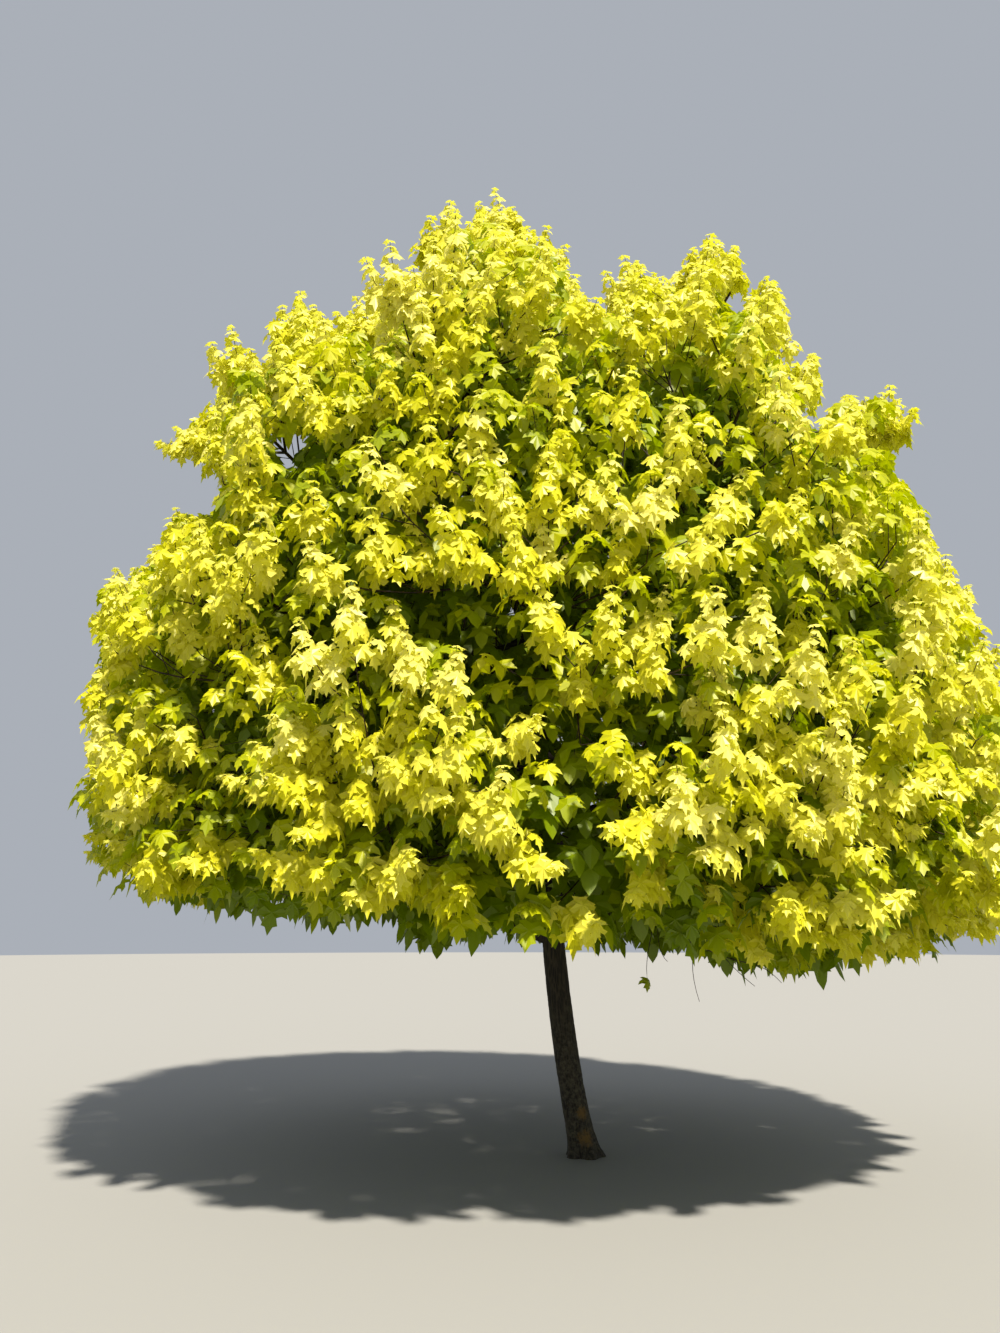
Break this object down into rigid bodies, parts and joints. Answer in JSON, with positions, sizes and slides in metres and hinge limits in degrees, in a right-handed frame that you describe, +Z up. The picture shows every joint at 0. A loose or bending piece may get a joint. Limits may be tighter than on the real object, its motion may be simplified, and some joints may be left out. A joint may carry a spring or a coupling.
{
  "type": "maple tree",
  "caption": "Whole golden-leaved maple tree with a leaning trunk, rising boughs and a broad domed crown of hanging leaves, rooted in the ground.",
  "frame": {"origin": "middle of the flat cut under the trunk, at ground level", "axes": "+Z up along the tree's height, -Y towards the front, the side the picture is taken from, +X to the picture's right"},
  "size_m": [6.9669, 7.2194, 7.7056],
  "materials": {
    "trunk_bark": "dark grey-brown bark with shallow upright ridges, pale grey mottling and a little orange-yellow lichen at the foot",
    "bough_bark": "smooth dark grey-brown young bark",
    "foliage": "soft-sheened golden yellow and lime leaves, olive green inside the crown"
  },
  "bodies": {
    "root": {"trunk": "trunk_bark", "skirt_bough_1": "bough_bark", "skirt_bough_2": "bough_bark", "skirt_bough_3": "bough_bark", "skirt_bough_4": "bough_bark", "skirt_bough_5": "bough_bark", "skirt_bough_6": "bough_bark", "skirt_bough_7": "bough_bark", "skirt_bough_8": "bough_bark", "skirt_bough_9": "bough_bark", "waist_bough_1": "bough_bark", "waist_bough_2": "bough_bark", "waist_bough_3": "bough_bark", "waist_bough_4": "bough_bark", "waist_bough_5": "bough_bark", "waist_bough_6": "bough_bark", "waist_bough_7": "bough_bark", "waist_bough_8": "bough_bark", "shoulder_bough_1": "bough_bark", "shoulder_bough_2": "bough_bark", "shoulder_bough_3": "bough_bark", "shoulder_bough_4": "bough_bark", "shoulder_bough_5": "bough_bark", "shoulder_bough_6": "bough_bark", "shoulder_bough_7": "bough_bark", "shoulder_bough_8": "bough_bark", "skirt_foliage_1": "foliage", "skirt_foliage_2": "foliage", "skirt_foliage_3": "foliage", "skirt_foliage_4": "foliage", "skirt_foliage_5": "foliage", "skirt_foliage_6": "foliage", "skirt_foliage_7": "foliage", "skirt_foliage_8": "foliage", "skirt_foliage_9": "foliage", "waist_foliage_1": "foliage", "waist_foliage_2": "foliage", "waist_foliage_3": "foliage", "waist_foliage_4": "foliage", "waist_foliage_5": "foliage", "waist_foliage_6": "foliage", "waist_foliage_7": "foliage", "waist_foliage_8": "foliage", "shoulder_foliage_1": "foliage", "shoulder_foliage_2": "foliage", "shoulder_foliage_3": "foliage", "shoulder_foliage_4": "foliage", "shoulder_foliage_5": "foliage", "shoulder_foliage_6": "foliage", "shoulder_foliage_7": "foliage", "shoulder_foliage_8": "foliage", "crest_foliage_1": "foliage", "crest_foliage_2": "foliage", "crest_foliage_3": "foliage", "crest_foliage_4": "foliage", "crest_foliage_5": "foliage", "leader_foliage": "foliage"}
  },
  "joints": []
}
